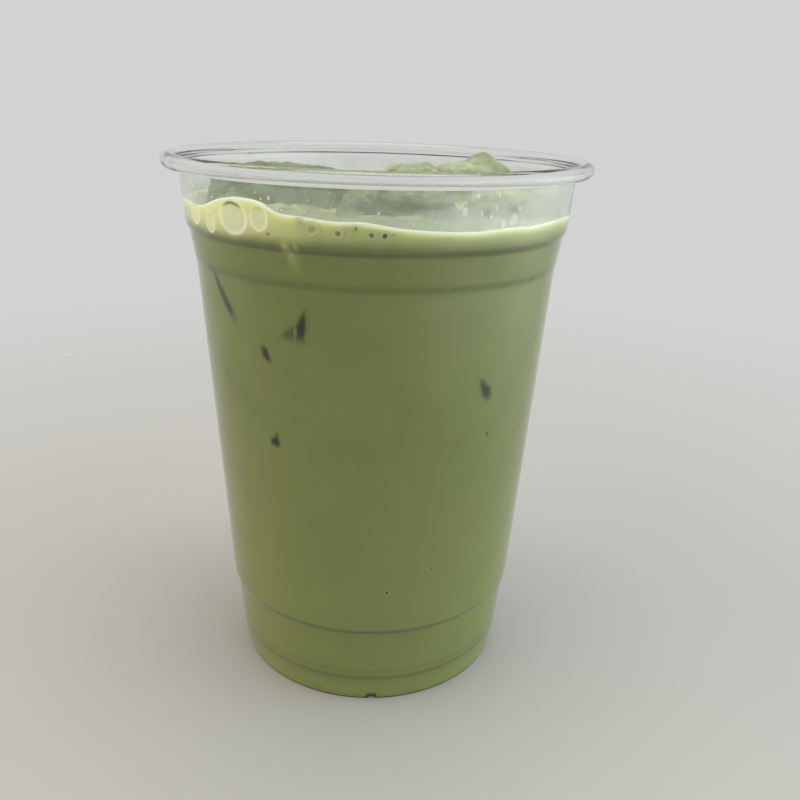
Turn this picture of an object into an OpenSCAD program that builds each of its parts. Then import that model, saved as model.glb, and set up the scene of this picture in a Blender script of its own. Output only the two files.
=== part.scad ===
// Iced matcha latte in a clear plastic cup.
// The origin is at the middle of the foot, on the surface that the cup stands on, with +Z up.

/* [Cup] */
// Outer diameter of the rolled rim
rim_d = 98; // [80:0.5:120]
// Height from the foot to the top of the rim
cup_h = 127; // [104:1:154]
// Outer diameter of the foot
foot_d = 68.4; // [56:0.2:83]
// Thickness of the plastic
wall = 0.5; // [0.4:0.05:0.6]

/* [Rim] */
// Height of the rolled lip
curl_h = 3.3; // [2.7:0.1:4]
// How far the lip stands out from the neck below it
curl_reach = 3.7; // [3.4:0.1:4.5]
// Lean of the neck where it runs out into the lip, in degrees from upright
flare_a = 30; // [20:1:35]
// Angle at which the lip's edge ends, past the outermost point
curl_a = 120; // [90:5:150]

/* [Shoulder] */
// Depth of the upper ring below the top of the rim
upper_ring_drop = 15.7; // [13:0.1:20]
// Width that the cup gains over the upper ring, on each side
upper_ring_step = 0.85; // [0.4:0.05:1.2]
// Distance between the two shoulder rings
ring_pitch = 7.1; // [5.5:0.1:9]
// Width that the cup gains over the lower ring, on each side
lower_ring_step = 0.45; // [0.2:0.05:0.8]
// Width gained between the two rings
band_taper = 0.75; // [0.3:0.05:1.2]
// Width gained between the upper ring and the neck
neck_taper = 0.95; // [0.4:0.05:1.4]
// Height over which a ring's step is spread
step_h = 2.3; // [1.6:0.1:2.8]

/* [Base] */
// Height of the heel ring
heel_h = 6.4; // [5.8:0.1:8]
// Width gained over the heel, on each side
heel_taper = 0.7; // [0.5:0.05:1.2]
// Width gained over the heel ring
heel_step = 0.25; // [0.1:0.05:0.4]
// Height of the base ring, where the straight wall starts
base_ring_h = 21; // [16:0.2:25]
// Width gained between the heel ring and the base ring
base_taper = 1; // [0.5:0.05:1.5]
// Width gained over the base ring
base_ring_step = 0.9; // [0.4:0.05:1.2]
// Radius of the foot's outer edge
foot_round = 0.4; // [0.3:0.1:0.8]
// Width of the foot from its outer to its inner edge
foot_w = 1.6; // [1.4:0.1:2]
// Depth of the hollow under the floor
recess_h = 5.2; // [4.2:0.1:6.2]
// How far the hollow's side leans in
recess_lean = 2; // [1.5:0.1:3]
// Thickness of the floor
floor_t = 0.6; // [0.4:0.05:0.8]
// Thickness of the foot under the channel around the floor
channel_h = 0.8; // [0.7:0.05:1]
// Width of the small notch in the foot
notch_w = 1.8; // [1.4:0.1:2.2]
// Height of the small notch in the foot
notch_h = 1.3; // [1:0.1:1.6]
// Direction of the notch, in degrees round the cup
notch_a = -89; // [-180:1:180]

/* [Drink] */
// Depth of the drink's surface below the top of the rim
fill_drop = 11; // [9:0.5:14]
// Thickness of the froth
froth_h = 5; // [4:0.5:7]
// How far the froth climbs the wall on its high side
swell_h = 1.8; // [0:0.1:2.5]
// Extra height of the bubbly crest
crest_h = 2.6; // [0:0.1:3]
// Direction of the crest, in degrees round the cup
crest_a = -126; // [-180:1:180]
// Half width of the high side, in degrees
swell_spread = 42; // [20:1:60]
// Half width of the crest, in degrees
crest_spread = 9; // [6:1:20]
// Width of the strip along the wall where the froth climbs
climb_w = 4; // [2:0.5:5]

/* [Ice] */
// Space between neighbouring lumps of ice
ice_gap = 0.8; // [0.4:0.1:2]
// Depth that the lumps reach below the drink's surface
ice_sink = 14; // [8:1:20]
// Radius of a lump's melted edges
ice_round = 2.4; // [1.5:0.1:3]
// Share by which melting draws in a lump's upper corners
ice_melt = 0.35; // [0.1:0.05:0.5]
// Fall across the top of a lump
ice_fall = 2.2; // [0:0.2:3]

/* [Hidden] */
rim_r = rim_d / 2;
foot_r = foot_d / 2;

// Where the lip's roll has its middle, and the radius of its mid line
roll_r = (curl_h - wall) / 2;
roll = [rim_r - wall / 2 - roll_r, cup_h - wall / 2 - roll_r];
neck_r = rim_r - curl_reach;
// Length of the leaning stretch from the upright neck to the roll
flare_len = (roll[0] - roll_r * cos(flare_a) - neck_r + wall / 2) / sin(flare_a);
neck_z = roll[1] + roll_r * sin(flare_a) - flare_len * cos(flare_a);

upper_ring_z = cup_h - upper_ring_drop;
lower_ring_z = upper_ring_z - ring_pitch;
shoulder_r = neck_r - neck_taper;
band_r = shoulder_r - upper_ring_step;
cone_top_r = band_r - band_taper - lower_ring_step;
heel_r = foot_r + heel_taper;
heel_step_h = 1.1;
base_r = heel_r + heel_step + base_taper;
floor_z = recess_h + floor_t;
recess_r = foot_r - foot_w;
// Height of the foot that the arch over the notch is cut from
arch_h = notch_h + wall + 1;

level_z = cup_h - fill_drop;
froth_z = level_z - froth_h;

// Points of a soft step from one radius to another, with heights around a middle
function soft_step(r0, r1, mid_z, h, n = 5) =
    [for (i = [0:n]) let (t = i / n) [r0 + (r1 - r0) * t * t * (3 - 2 * t), mid_z + (t - 0.5) * h]];

// Points along an arc
function arc(centre, r, a0, a1, n) =
    [for (i = [0:n]) let (a = a0 + (a1 - a0) * i / n) centre + r * [cos(a), sin(a)]];

// Outer side of the wall from the heel to the neck
wall_line = concat(
    [[foot_r, foot_round]],
    soft_step(heel_r, heel_r + heel_step, heel_h, heel_step_h, 3),
    soft_step(base_r, base_r + base_ring_step, base_ring_h, step_h),
    soft_step(cone_top_r, cone_top_r + lower_ring_step, lower_ring_z, step_h),
    soft_step(band_r, shoulder_r, upper_ring_z, step_h),
    [[neck_r, neck_z]]
);
wall_table = [for (p = wall_line) [p[1], p[0]]];

// Outer and inner radius of the wall at a height
function outer_r(z) = lookup(z, wall_table);
function inner_r(z) = outer_r(z) - wall;

// Inner side of the wall between two heights, going up
function inner_line(z0, z1) = concat(
    [[inner_r(z0), z0]],
    [for (p = wall_line) if (p[1] > z0 && p[1] < z1) [p[0] - wall, p[1]]],
    [[inner_r(z1), z1]]
);

// Upper side of the floor, from the middle out and down into the channel
channel_in_r = recess_r - recess_lean * channel_h / recess_h + wall;
floor_line = [[0, floor_z], [recess_r - recess_lean + wall, floor_z], [channel_in_r, channel_h]];

// Width of the drink's surface
mouth_r = inner_r(level_z);

// Lumps of ice, as shares of the surface's radius: place, half width and half depth,
// then the turn in degrees and the height above the surface in millimetres
ice_lumps = [
    [-0.53, 0.05, 0.28, 0.28, 6, 8.8],
    [0.17, 0.14, 0.17, 0.18, -8, 8.6],
    [0.56, 0.41, 0.21, 0.23, 36, 10.7],
    [0.12, -0.38, 0.28, 0.2, -4, 6.5],
    [0.68, -0.32, 0.19, 0.18, -25, 3.2]
];

smooth = 96;
ice_facets = 12;
ice_seed = 21;

froth_around = 72;
froth_rings = [0, 0.5, 1];
climb_rings = 4;

// Bell that is 1 at its middle direction and falls off over a half width in degrees
function bell(a, mid, spread) = let (d = (a - mid + 540) % 360 - 180) exp(-d * d / (spread * spread));

// Height of the froth at a radius and a direction: it climbs towards the wall
function froth_top(r, a) =
    let (near = max(0, 1 - (mouth_r - r) / climb_w))
    level_z + (swell_h * bell(a, crest_a, swell_spread) + crest_h * bell(a, crest_a, crest_spread)) * near * near;

// A block under the froth's uneven top, wider than the cup
module froth_block() {
    rings = concat(
        [for (share = froth_rings) max(0.5, (mouth_r - climb_w) * share)],
        [for (i = [1:climb_rings]) mouth_r - climb_w + (climb_w + wall) * i / climb_rings]
    );
    last = len(rings) - 1;
    step = 360 / froth_around;
    top = [for (r = rings, i = [0:froth_around - 1])
        [r * cos(i * step), r * sin(i * step), froth_top(r, i * step)]];
    bottom = [for (i = [0:froth_around - 1])
        [rings[last] * cos(i * step), rings[last] * sin(i * step), froth_z - froth_h]];
    points = concat(top, bottom);
    edge = last * froth_around;
    under = len(top);
    polyhedron(points, concat(
        [[for (i = [froth_around - 1:-1:0]) i]],
        [for (k = [0:last - 1], i = [0:froth_around - 1])
            let (a = k * froth_around, j = (i + 1) % froth_around)
            each [[a + i, a + j, a + froth_around + j], [a + i, a + froth_around + j, a + froth_around + i]]],
        [for (i = [0:froth_around - 1])
            let (j = (i + 1) % froth_around)
            each [[edge + i, edge + j, under + j], [edge + i, under + j, under + i]]],
        [[for (i = [0:froth_around - 1]) under + i]]
    ));
}

// One lump: a block with melted edges, drawn in at the top
module lump(i) {
    cell = ice_lumps[i];
    half = [cell[2], cell[3]] * mouth_r - [1, 1] * (ice_gap / 2 + ice_round);
    draw = rands(0, 1, 8, ice_seed + i);
    fall = [for (k = [4:7]) draw[k]];
    translate([cell[0] * mouth_r, cell[1] * mouth_r, level_z])
        rotate(cell[4])
            hull()
                for (k = [0:3]) {
                    side = [k % 2 * 2 - 1, floor(k / 2) * 2 - 1];
                    drawn = 1 - ice_melt * draw[k];
                    translate([side[0] * half[0], side[1] * half[1], ice_round - ice_sink])
                        sphere(ice_round, $fn = ice_facets);
                    translate([
                        side[0] * half[0] * drawn,
                        side[1] * half[1] * drawn,
                        cell[5] - ice_round - ice_fall * (fall[k] - min(fall))
                    ])
                        sphere(ice_round, $fn = ice_facets);
                }
}

module lumps() {
    for (i = [0:len(ice_lumps) - 1])
        lump(i);
}

// A round bar of some width along the notch, right through the foot
module notch_bar(d) {
    rotate(notch_a)
        translate([recess_r - recess_lean - 1, 0, notch_h - notch_w / 2])
            rotate([0, 90, 0])
                cylinder(d = d, h = foot_w + recess_lean + 3, $fn = smooth);
}

// Plastic that arches over the notch and closes it off from the channel
module notch_arch() {
    intersection() {
        rotate_extrude($fn = smooth)
            polygon(concat(
                [[recess_r - recess_lean * arch_h / recess_h, arch_h], [recess_r, 0]],
                arc([foot_r - foot_round, foot_round], foot_round, -90, 0, 4),
                [[outer_r(arch_h), arch_h]]
            ));
        notch_bar(notch_w + 2 * wall);
    }
}

// Thin wall with a recessed floor, shoulder rings and an open rolled lip
module cup() {
    color([0.93, 0.95, 0.95, 0.35])
        difference() {
            union() {
                rotate_extrude($fn = smooth)
                    polygon(concat(
                        [[0, recess_h], [recess_r - recess_lean, recess_h], [recess_r, 0]],
                        arc([foot_r - foot_round, foot_round], foot_round, -90, 0, 4),
                        [for (i = [1:len(wall_line) - 1]) wall_line[i]],
                        arc(roll, roll_r - wall / 2, 180 - flare_a, -curl_a, 14),
                        arc(roll, roll_r + wall / 2, -curl_a, 180 - flare_a, 18),
                        [[neck_r - wall, neck_z]],
                        [for (i = [len(wall_line) - 2:-1:1]) wall_line[i] - [wall, 0]],
                        [[inner_r(channel_h), channel_h], [channel_in_r, channel_h]],
                        [[recess_r - recess_lean + wall, floor_z], [0, floor_z]]
                    ));
                notch_arch();
            }
            notch_bar(notch_w);
        }
}

// Everything that fills the cup between the channel and a height
module filling(z1) {
    rotate_extrude($fn = smooth)
        polygon(concat(floor_line, inner_line(channel_h, z1), [[0, z1]]));
}

module drink() {
    color([0.55, 0.62, 0.38])
        difference() {
            filling(froth_z);
            lumps();
            notch_bar(notch_w + 2 * wall);
        }
}

module froth() {
    color([0.74, 0.8, 0.52])
        difference() {
            intersection() {
                rotate_extrude($fn = smooth)
                    polygon(concat([[0, froth_z]], inner_line(froth_z, neck_z), [[0, neck_z]]));
                froth_block();
            }
            lumps();
        }
}

module ice(i) {
    color([0.62, 0.68, 0.5]) lump(i);
}

cup();
drink();
froth();
for (i = [1:len(ice_lumps)])
    ice(i - 1);
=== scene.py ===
import math

import bpy
import numpy as np
from mathutils import Matrix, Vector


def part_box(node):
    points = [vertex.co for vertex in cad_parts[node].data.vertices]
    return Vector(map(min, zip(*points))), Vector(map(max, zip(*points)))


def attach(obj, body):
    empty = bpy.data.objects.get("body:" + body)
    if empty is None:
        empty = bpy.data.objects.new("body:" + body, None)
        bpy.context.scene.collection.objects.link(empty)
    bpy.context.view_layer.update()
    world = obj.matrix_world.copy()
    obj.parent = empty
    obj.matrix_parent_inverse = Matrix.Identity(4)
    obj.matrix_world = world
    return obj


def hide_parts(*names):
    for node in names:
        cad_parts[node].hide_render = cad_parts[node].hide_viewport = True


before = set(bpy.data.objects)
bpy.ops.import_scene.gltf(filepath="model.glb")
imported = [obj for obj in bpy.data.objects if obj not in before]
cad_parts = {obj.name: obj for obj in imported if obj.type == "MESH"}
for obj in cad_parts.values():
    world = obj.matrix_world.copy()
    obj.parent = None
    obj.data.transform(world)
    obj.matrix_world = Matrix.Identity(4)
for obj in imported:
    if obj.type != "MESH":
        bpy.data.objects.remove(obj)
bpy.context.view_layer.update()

cupLow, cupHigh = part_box("cup")
drinkLow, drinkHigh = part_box("drink")
mm = (cupHigh.z - cupLow.z) / 127.0  # one millimetre of the drawing, in metres
print("frame loaded: the cup is", round(cupHigh.z, 4), "m high and the drink", round(drinkHigh.z, 4), "m")


# numbers into meshes

def gridMesh(name, points, material, layers=None, loop=False, crease=None):
    # points are pieces x rows x columns x 3 in drawing millimetres; the columns close into a ring;
    # the first and the last row shrink to one point, or with loop they join each other; the edges
    # along the crease row stay sharp
    if points.ndim == 3:
        points = points[None]
    pieces, rows, columns = points.shape[:3]
    index = np.arange(pieces * rows * columns).reshape(pieces, rows, columns)
    if not loop:
        index[:, 0] = index[:, 0, :1]
        index[:, -1] = index[:, -1, :1]
    following = np.roll(index, -1, axis=1) if loop else index[:, 1:]
    current = index if loop else index[:, :-1]
    quads = np.stack([current, np.roll(current, -1, axis=2),
                      np.roll(following, -1, axis=2), following], axis=-1).reshape(-1, 4)
    drop = np.zeros(quads.shape, bool)
    drop[:, 1] = quads[:, 0] == quads[:, 1]
    drop[:, 3] = quads[:, 2] == quads[:, 3]
    co = points.reshape(-1, 3)
    # six times the signed volume: a negative sum means that the faces point inwards
    a, b, c, d = (co[quads[:, k]] for k in range(4))
    volume = (a * np.cross(b, c)).sum() + (a * np.cross(c, d)).sum()
    if volume < 0:
        quads = quads[:, ::-1]
        drop = drop[:, ::-1]
    corners = quads[~drop]
    sizes = 4 - drop.sum(axis=1)
    starts = np.concatenate([[0], np.cumsum(sizes)[:-1]])
    used, corners = np.unique(corners, return_inverse=True)
    mesh = bpy.data.meshes.new(name)
    mesh.vertices.add(len(used))
    mesh.vertices.foreach_set("co", (co[used] * mm).astype(np.float32).ravel())
    mesh.loops.add(len(corners))
    mesh.loops.foreach_set("vertex_index", corners.astype(np.int32).ravel())
    mesh.polygons.add(len(starts))
    mesh.polygons.foreach_set("loop_start", starts.astype(np.int32))
    mesh.update(calc_edges=True)
    for layer, values in (layers or {}).items():
        values = np.broadcast_to(values, points.shape[:3]).reshape(-1)[used]
        mesh.attributes.new(layer, "FLOAT", "POINT").data.foreach_set("value", values.astype(np.float32))
    mesh.validate()
    mesh.shade_smooth()
    if crease is not None:
        onRow = (np.arange(pieces * rows * columns) // columns % rows == crease)[used]
        ends = np.zeros(len(mesh.edges) * 2, np.int32)
        mesh.edges.foreach_get("vertices", ends)
        sharp = onRow[ends].reshape(-1, 2).all(axis=1)
        mesh.attributes.new("sharp_edge", "BOOLEAN", "EDGE").data.foreach_set("value", sharp)
    mesh.materials.append(material)
    piece = bpy.data.objects.new(name, mesh)
    bpy.context.scene.collection.objects.link(piece)
    print("made", name, "with", int((sizes - 2).sum()), "triangles")
    return piece


def latticeNoise(points, size, seed):
    # smooth value noise from -1 to 1: random numbers on a cubic lattice of that size,
    # blended between the eight corners of each cell with the fade 3 t^2 - 2 t^3
    scaled = np.asarray(points, float) / size
    base = np.floor(scaled).astype(np.int64)
    fade = scaled - base
    fade = fade * fade * (3 - 2 * fade)
    table = np.random.default_rng(seed).random(4096) * 2 - 1
    total = np.zeros(scaled.shape[:-1])
    for corner in np.ndindex(2, 2, 2):
        step = np.array(corner)
        key = ((base + step) * np.array([73856093, 19349663, 83492791])).sum(axis=-1)
        key = (key ^ (key >> 13)) & 4095
        total += table[key] * np.where(step, fade, 1 - fade).prod(axis=-1)
    return total


def layeredNoise(points, size, seed, octaves=3):
    # value noise added to itself at half the size and half the height, octaves times
    total = sum(latticeNoise(points, size / 2 ** k, seed + 17 * k) / 2 ** k for k in range(octaves))
    return total / (2 - 2 ** (1 - octaves))


def cellDomes(x, y, cell, seed, least, most):
    # round domes on a jittered square lattice: each point gets the highest of its nine nearest
    # domes, sqrt(radius^2 - distance^2), with a random radius from least to most cells
    gx, gy = np.floor(x / cell).astype(np.int64), np.floor(y / cell).astype(np.int64)
    table = np.random.default_rng(seed).random((3, 4096))
    best = np.zeros(x.shape)
    for stepX in (-1, 0, 1):
        for stepY in (-1, 0, 1):
            key = (gx + stepX) * 73856093 ^ (gy + stepY) * 19349663
            key = (key ^ (key >> 11)) & 4095
            middleX = gx + stepX + table[0][key]
            middleY = gy + stepY + table[1][key]
            radius = least + (most - least) * table[2][key] ** 3
            far = (x / cell - middleX) ** 2 + (y / cell - middleY) ** 2
            best = np.maximum(best, np.sqrt(np.clip(radius ** 2 - far, 0, None)))
    return best * cell


def bell(distance, spread):
    # exp(-(d/s)^2)
    return np.exp(-(distance / spread) ** 2)


def ramp(value, low, high):
    # 0 below low, 1 above high, and 3 t^2 - 2 t^3 between
    t = np.clip((value - low) / (high - low), 0, 1)
    return t * t * (3 - 2 * t)


def arc(value):
    # sqrt(1 - v^2), and 0 where v passes 1
    return np.sqrt(np.clip(1 - value ** 2, 0, None))


def turnedAxes(x, y, degrees):
    # x cos t + y sin t, y cos t - x sin t
    turn = math.radians(degrees)
    return x * math.cos(turn) + y * math.sin(turn), y * math.cos(turn) - x * math.sin(turn)


def fullTurn(count):
    return np.linspace(0, 2 * np.pi, count, endpoint=False)


def outAndBack(rows):
    # from 0 to 1 and back to 0, the 1 only once
    return np.concatenate([np.linspace(0, 1, rows), np.linspace(1, 0, rows)[1:]])


def turnDegrees(value):
    # the angle brought to -180..180
    return (value + 180) % 360 - 180


def around(radius, angle, height):
    # x = r cos a, y = r sin a, z
    angle = np.radians(angle)
    return np.stack(np.broadcast_arrays(radius * np.cos(angle), radius * np.sin(angle), height), axis=-1)


# material helpers

def newMaterial(name):
    material = bpy.data.materials.new(name)
    material.use_nodes = True
    tree = material.node_tree
    return material, tree, tree.nodes["Principled BSDF"]


def feed(tree, node, inputs):
    # each input is linked to a socket or set to a plain value
    for key, value in inputs.items():
        if isinstance(value, bpy.types.NodeSocket):
            tree.links.new(value, node.inputs[key])
        else:
            node.inputs[key].default_value = value
    return node


def put(tree, kind, at, inputs=None, **settings):
    node = tree.nodes.new("ShaderNode" + kind)
    node.location = at
    for key, value in settings.items():
        setattr(node, key, value)
    return feed(tree, node, inputs or {})


def calc(tree, operation, at, *values):
    return put(tree, "Math", at, dict(enumerate(values)), operation=operation).outputs[0]


def remap(tree, value, before, after, at, **settings):
    # the range before, from low to high, is brought to the range after
    return put(tree, "MapRange", at, {"Value": value, "From Min": before[0], "From Max": before[1],
                                      "To Min": after[0], "To Max": after[1]}, **settings).outputs[0]


def mixColour(tree, share, first, second, at):
    return put(tree, "Mix", at, {"Factor": share, "A": first, "B": second},
               data_type="RGBA").outputs["Result"]


def scaleColour(tree, colour, factor, at):
    return put(tree, "VectorMath", at, {0: colour, "Scale": factor}, operation="SCALE").outputs[0]


def layerValue(tree, name, at):
    return put(tree, "Attribute", at, attribute_name=name).outputs["Fac"]


def newGroup(name, inputs, outputs):
    # inputs and outputs are {name: (socket type, value)}
    tree = bpy.data.node_groups.new(name, "ShaderNodeTree")
    for side, sockets in (("INPUT", inputs), ("OUTPUT", outputs)):
        for key, (kind, value) in sockets.items():
            socket = tree.interface.new_socket(name=key, in_out=side, socket_type="NodeSocket" + kind)
            if value is not None:
                socket.default_value = value
    start = tree.nodes.new("NodeGroupInput")
    start.location = (-900, 0)
    end = tree.nodes.new("NodeGroupOutput")
    end.location = (700, 0)
    return tree, start.outputs, end.inputs


def placeGroup(tree, group, at, inputs=None):
    return put(tree, "Group", at, inputs, node_tree=group).outputs


def objectSpace(tree, size):
    # object coordinates, and the scale 1 / size that gives a texture that real size
    where = put(tree, "TexCoord", (-900, -300)).outputs["Object"]
    return where, calc(tree, "DIVIDE", (-700, -150), 1.0, size)


def hue(red, green, blue):
    # sRGB 0..255 to the linear colour that a socket takes
    srgb = np.array([red, green, blue]) / 255
    linear = np.where(srgb <= 0.04045, srgb / 12.92, ((srgb + 0.055) / 1.055) ** 2.4)
    return (*linear.tolist(), 1.0)


def bumpFrom(tree, height, strength, distance, at):
    return put(tree, "Bump", at, {"Height": height, "Strength": strength, "Distance": distance}).outputs[0]


# milk and foam share this cloudiness: the colour times a shade and a soft noise in object space
cloudy, cloudyIn, cloudyOut = newGroup(
    "cloudyMilk",
    {"Colour": ("Color", (0.3, 0.36, 0.14, 1)), "Shade": ("Float", 1.0),
     "Cloud size": ("Float", 0.012), "Cloud strength": ("Float", 0.05)},
    {"Colour": ("Color", None)})
where, size = objectSpace(cloudy, cloudyIn["Cloud size"])
noise = put(cloudy, "TexNoise", (-500, -200),
            {"Vector": where, "Scale": size, "Detail": 3.0, "Roughness": 0.55}).outputs["Fac"]
swing = remap(cloudy, noise, (0.3, 0.7), (-1.0, 1.0), (-300, -200))
swing = calc(cloudy, "MULTIPLY_ADD", (-100, -200), swing, cloudyIn["Cloud strength"], 1.0)
swing = calc(cloudy, "MULTIPLY", (100, -100), swing, cloudyIn["Shade"])
cloudy.links.new(scaleColour(cloudy, cloudyIn["Colour"], swing, (300, 0)), cloudyOut["Colour"])

# foam cells at two sizes, as a height for the bump
cells, cellsIn, cellsOut = newGroup(
    "foamCells", {"Cell size": ("Float", 0.0006)}, {"Height": ("Float", None)})
where, size = objectSpace(cells, cellsIn["Cell size"])
small = put(cells, "TexVoronoi", (-500, 0), {"Vector": where, "Scale": size},
            feature="SMOOTH_F1").outputs["Distance"]
larger = calc(cells, "MULTIPLY", (-700, -400), size, 0.38)
large = put(cells, "TexVoronoi", (-500, -300), {"Vector": where, "Scale": larger}).outputs["Distance"]
height = calc(cells, "MULTIPLY_ADD", (-200, -100), large, 1.6, small)
cells.links.new(calc(cells, "SUBTRACT", (0, -100), 1.5, height), cellsOut["Height"])

# fine wet grain, and patches of foam left on ice, drawn together in height by the layers value
grain, grainIn, grainOut = newGroup(
    "wetGrain", {"Grain size": ("Float", 0.0008), "Layers": ("Float", 1.0)},
    {"Height": ("Float", None), "Patches": ("Float", None)})
where, size = objectSpace(grain, grainIn["Grain size"])
drawn = put(grain, "CombineXYZ", (-900, -500), {"X": 1.0, "Y": 1.0, "Z": grainIn["Layers"]}).outputs[0]
where = put(grain, "VectorMath", (-700, -300), {0: where, 1: drawn}, operation="MULTIPLY").outputs[0]
fine = put(grain, "TexNoise", (-450, 0), {"Vector": where, "Scale": size, "Detail": 4.0}).outputs["Fac"]
broad = calc(grain, "MULTIPLY", (-700, -500), size, 0.16)
patches = put(grain, "TexNoise", (-450, -300),
              {"Vector": where, "Scale": broad, "Detail": 5.0, "Roughness": 0.6}).outputs["Fac"]
grain.links.new(fine, grainOut["Height"])
grain.links.new(remap(grain, patches, (0.36, 0.62), (0.0, 1.0), (-200, -300)), grainOut["Patches"])
print("node groups ready")


# the clear cup

cupShape = {
    "wall": 0.5,
    # height, outer radius, and 1 where a soft step leads up to that height
    "outline": [(0.4, 34.2, 0), (5.85, 34.9, 0), (6.95, 35.15, 1), (19.85, 36.15, 0), (22.15, 37.05, 1),
                (103.05, 42.3, 0), (105.35, 42.75, 1), (110.15, 43.5, 0), (112.45, 44.35, 1),
                (124.17, 45.3, 0)],
    "rollMiddle": (47.35, 125.35),
    "rollRadius": 1.4,
    "rollThick": 1.15,
    "rollFrom": 150,
    "rollTo": -120,
    # radius and height of the points under and over the floor
    "footRound": (33.8, 0.4),
    "under": [(0, 5.2), (30.6, 5.2), (32.6, 0.0)],
    "channelBottom": 0.8,
    "channelFrom": 32.8,
    "floor": [(31.1, 5.8), (0, 5.8)],
    "waviness": 0.035,
    # radii between which the unevenness fades out, and between which the notch ends
    "flatFloor": (20, 33),
    "footRing": (31.4, 32.2),
    "columns": 288,
    # half width of the close columns at the notch, their number, and where the even ones begin
    "nearNotch": (3.0, 41, 3.3),
    "notchAngle": -88.9,
    "notchHeight": 1.3,
    "notchHalf": 0.9,
    "notchRadius": 34.0,
    # half width and half height of the painted shade behind the notch
    "notchShade": (1.5, 2.0),
}
outline = np.array(cupShape["outline"])


def wallRadius(height):
    # outer wall: straight tapers joined by soft steps, r0 + (r1 - r0) (3 t^2 - 2 t^3)
    height = np.clip(height, outline[0, 0], outline[-1, 0])
    step = np.clip(np.searchsorted(outline[:, 0], height, side="right"), 1, len(outline) - 1)
    t = (height - outline[step - 1, 0]) / (outline[step, 0] - outline[step - 1, 0])
    t = np.where(outline[step, 2] > 0, t * t * (3 - 2 * t), t)
    return outline[step - 1, 1] + (outline[step, 1] - outline[step - 1, 1]) * t


def insideRadius(height):
    return wallRadius(height) - cupShape["wall"]


def runLength(path):
    # the length along a path up to each of its points
    return np.concatenate([[0], np.cumsum(np.hypot(*np.diff(path, axis=0).T))])


def resample(path, run, wanted):
    return np.stack([np.interp(wanted, run, path[:, k]) for k in (0, 1)], axis=1)


def spread(path, longest, bend):
    # fewer points on a path: they are spaced evenly in length / longest + turning / bend
    path = np.asarray(path, float)
    leg = np.hypot(*np.diff(path, axis=0).T)
    path = path[np.concatenate([[True], leg > 1e-6])]
    leg = np.hypot(*np.diff(path, axis=0).T)
    heading = np.unwrap(np.arctan2(*np.diff(path, axis=0).T[::-1]))
    turning = np.concatenate([[0], np.abs(np.diff(heading)), [0]])
    cost = leg / longest + 0.5 * (turning[:-1] + turning[1:]) / math.radians(bend)
    run = np.concatenate([[0], np.cumsum(cost)])
    wanted = np.linspace(0, run[-1], int(math.ceil(run[-1])) + 1)
    return resample(path, run, wanted)


def soften(path, spacing, width):
    # a path walked at even spacing and smoothed with a bell of that width; its ends stay
    run = runLength(path)
    even = resample(path, run, np.linspace(0, run[-1], int(run[-1] / spacing) + 1))
    reach = int(3 * width / spacing)
    kernel = bell(np.arange(-reach, reach + 1) * spacing, width * 1.41)
    kernel /= kernel.sum()
    padded = np.concatenate([2 * even[:1] - even[reach:0:-1], even, 2 * even[-1:] - even[-2:-reach - 2:-1]])
    return np.stack([np.convolve(padded[:, k], kernel, mode="valid") for k in (0, 1)], axis=1)


def cupProfile(shape):
    # the shell's outline from the axis under the floor, out, up, round the roll and back inside,
    # and the share of its length at which the inside of the cup begins
    heights = np.linspace(outline[0, 0], outline[-1, 0], 1400)
    outside = np.stack([wallRadius(heights), heights], axis=1)
    low = shape["channelBottom"]
    inHeights = heights[heights > low + 0.1][::-1]
    inside = np.stack([insideRadius(inHeights), inHeights], axis=1)
    middle = np.array(shape["rollMiddle"])
    sweep = np.radians(np.linspace(shape["rollFrom"], shape["rollTo"], 90))
    circle = np.stack([np.cos(sweep), np.sin(sweep)], axis=1)
    half = shape["wall"] / 2
    innerRoll = middle + (shape["rollRadius"] + half - shape["rollThick"]) * circle
    outerRoll = middle + (shape["rollRadius"] + half) * circle[::-1]
    footEdge = np.radians(np.linspace(-90, 0, 7))
    footMiddle, footRadius = shape["footRound"]
    foot = np.stack([footMiddle + footRadius * np.cos(footEdge), footRadius * (1 + np.sin(footEdge))], axis=1)
    channel = [(insideRadius(low + 0.1) - 0.1, low), (shape["channelFrom"], low), *shape["floor"]]
    path = np.concatenate([shape["under"], foot, outside[1:], innerRoll, outerRoll, inside, channel])
    run = runLength(path)
    return soften(path, 0.05, 0.11), run[-len(inside) - len(channel)] / run[-1]


def notchColumns(shape):
    # even columns round the cup, with closer ones at the small notch in the foot
    half, count, apart = shape["nearNotch"]
    even = np.linspace(-180, 180, shape["columns"], endpoint=False)
    near = cupShape["notchAngle"] + np.linspace(-half, half, count)
    far = np.abs(turnDegrees(even - cupShape["notchAngle"])) > apart
    return np.sort(np.concatenate([even[far], near]))


def wobble(angle, height):
    # the slight unevenness of thin formed plastic: broad noise over the wall, growing towards the rim
    place = around(30.0, angle, height * 0.55)
    return cupShape["waviness"] * latticeNoise(place, 13.0, 4) * (0.35 + 0.65 * ramp(height, 0, 127))


def bentRadius(radius, angle, height):
    # a radius with the wall's unevenness, which fades out where the floor is
    return radius + wobble(angle, height) * ramp(radius, *cupShape["flatFloor"])


def archOver(angle, thickness):
    # half round arch over the notch, thicker by the wall on the inside: h sqrt(1 - (x/w)^2)
    offset = turnDegrees(angle - cupShape["notchAngle"]) * math.radians(cupShape["notchRadius"])
    share = offset / (cupShape["notchHalf"] + thickness)
    return (cupShape["notchHeight"] + thickness) * arc(share)


def onFoot(radius):
    # 1 on the foot ring, where the notch lifts the surface, and 0 under the floor
    return ramp(radius, *cupShape["footRing"])


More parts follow.
